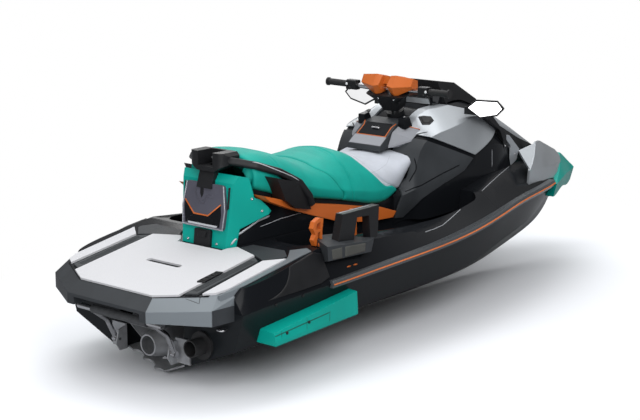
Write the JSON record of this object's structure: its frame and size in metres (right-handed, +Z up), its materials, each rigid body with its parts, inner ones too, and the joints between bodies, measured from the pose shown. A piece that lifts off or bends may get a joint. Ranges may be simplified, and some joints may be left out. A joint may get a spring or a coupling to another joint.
{
  "type": "personal watercraft",
  "caption": "Three-seat runabout personal watercraft with jet pump, steerable nozzle, reverse bucket, boarding step, tow pylon, board rack and front storage hood.",
  "frame": {"origin": "on the centreline, amidships between bow and stern, at the waterline when the craft floats at rest", "axes": "+X towards the bow, +Y to port, +Z up"},
  "size_m": [3.58, 1.224, 1.1701],
  "materials": {
    "hull_black": "satin",
    "deck_black": "gloss",
    "charcoal": "textured",
    "silver": "metallic",
    "teal": "gloss",
    "teal_vinyl": "vinyl",
    "light_vinyl": "vinyl",
    "orange": "gloss",
    "mat_light": "matt",
    "mat_dark": "matt",
    "black_plastic": "satin",
    "aluminium": "cast",
    "steel": "polished",
    "rubber": "matt",
    "screen": "gloss",
    "mirror_glass": "polished",
    "panel_grey": "satin",
    "exhaust": "matt"
  },
  "bodies": {
    "craft": {"bow_bumper": "teal", "bow_eye": "steel", "bow_fairings": "silver", "cleat_rails": "mat_dark", "column_boss": "black_plastic", "console": "charcoal", "deck": "deck_black", "deck_panels": "charcoal", "display": "screen", "exhaust_outlet": "exhaust", "footwell_mats": "mat_dark", "footwell_trays": "deck_black", "front_cowl": "deck_black", "grab_rail": "black_plastic", "housing_latches": "black_plastic", "housing_panel": "panel_grey", "hull": "hull_black", "intake_grate": "aluminium", "jet_pump": "aluminium", "knee_panels": "charcoal", "mirror_housings": "black_plastic", "mirror_lenses": "mirror_glass", "mirror_stays": "black_plastic", "platform_mats": "mat_light", "pylon_housing": "teal", "rack_base": "charcoal", "rack_cleats": "orange", "rack_upright": "black_plastic", "ride_plate": "aluminium", "rub_rails": "charcoal", "rub_stripes": "orange", "seat_bolster": "light_vinyl", "seat_front": "teal_vinyl", "seat_pedestal": "deck_black", "seat_rear": "teal_vinyl", "seat_trims": "orange", "side_covers": "silver", "side_fenders": "black_plastic", "sponsons": "teal", "stay_brackets": "silver", "step_brackets": "aluminium", "stern_bumper": "charcoal", "stern_corner": "silver", "stern_eyes": "steel", "storage_bin": "black_plastic", "wind_visor": "black_plastic"},
    "steering_head": {"handlebar": "steel", "grips": "rubber", "switch_housings": "black_plastic", "levers": "aluminium", "bar_pad": "orange", "steering_shroud": "black_plastic"},
    "jet_nozzle": {"steering_nozzle": "aluminium"},
    "bucket": {"reverse_bucket": "aluminium"},
    "rotor": {"impeller": "steel"},
    "step": {"boarding_step": "steel", "step_sleeve": "rubber"},
    "pylon": {"tow_pylon": "steel"},
    "storage_lid": {"hood": "silver"}
  },
  "joints": [
    {"name": "handlebar_steer", "type": "hinge", "parent": "craft", "child": "steering_head", "pos_m": [0.19, 0, 0.705], "axis": [-0.3746, 0, 0.9272], "range_deg": [-22, 22]},
    {"name": "nozzle_steer", "type": "hinge", "parent": "craft", "child": "jet_nozzle", "pos_m": [-1.452, 0, -0.133], "axis": [0, 0, 1], "range_deg": [-20, 20]},
    {"name": "bucket_lower", "type": "hinge", "parent": "craft", "child": "bucket", "pos_m": [-1.462, 0, -0.133], "axis": [0, -1, 0], "range_deg": [0, 78]},
    {"name": "impeller_spin", "type": "hinge", "parent": "craft", "child": "rotor", "pos_m": [-1.26, 0, -0.133], "axis": [1, 0, 0], "continuous": true},
    {"name": "step_lower", "type": "hinge", "parent": "craft", "child": "step", "pos_m": [-1.572, 0, -0.132], "axis": [0, -1, 0], "range_deg": [0, 115]},
    {"name": "pylon_raise", "type": "slide", "parent": "craft", "child": "pylon", "axis": [0, 0, 1], "range_m": [0, 0.34]},
    {"name": "hood_open", "type": "hinge", "parent": "craft", "child": "storage_lid", "pos_m": [1.472, 0, 0.302], "axis": [0, 1, 0], "range_deg": [0, 55]}
  ],
  "couplings": [
    {"joint": "nozzle_steer", "follows": "handlebar_steer", "ratio": -0.9}
  ]
}
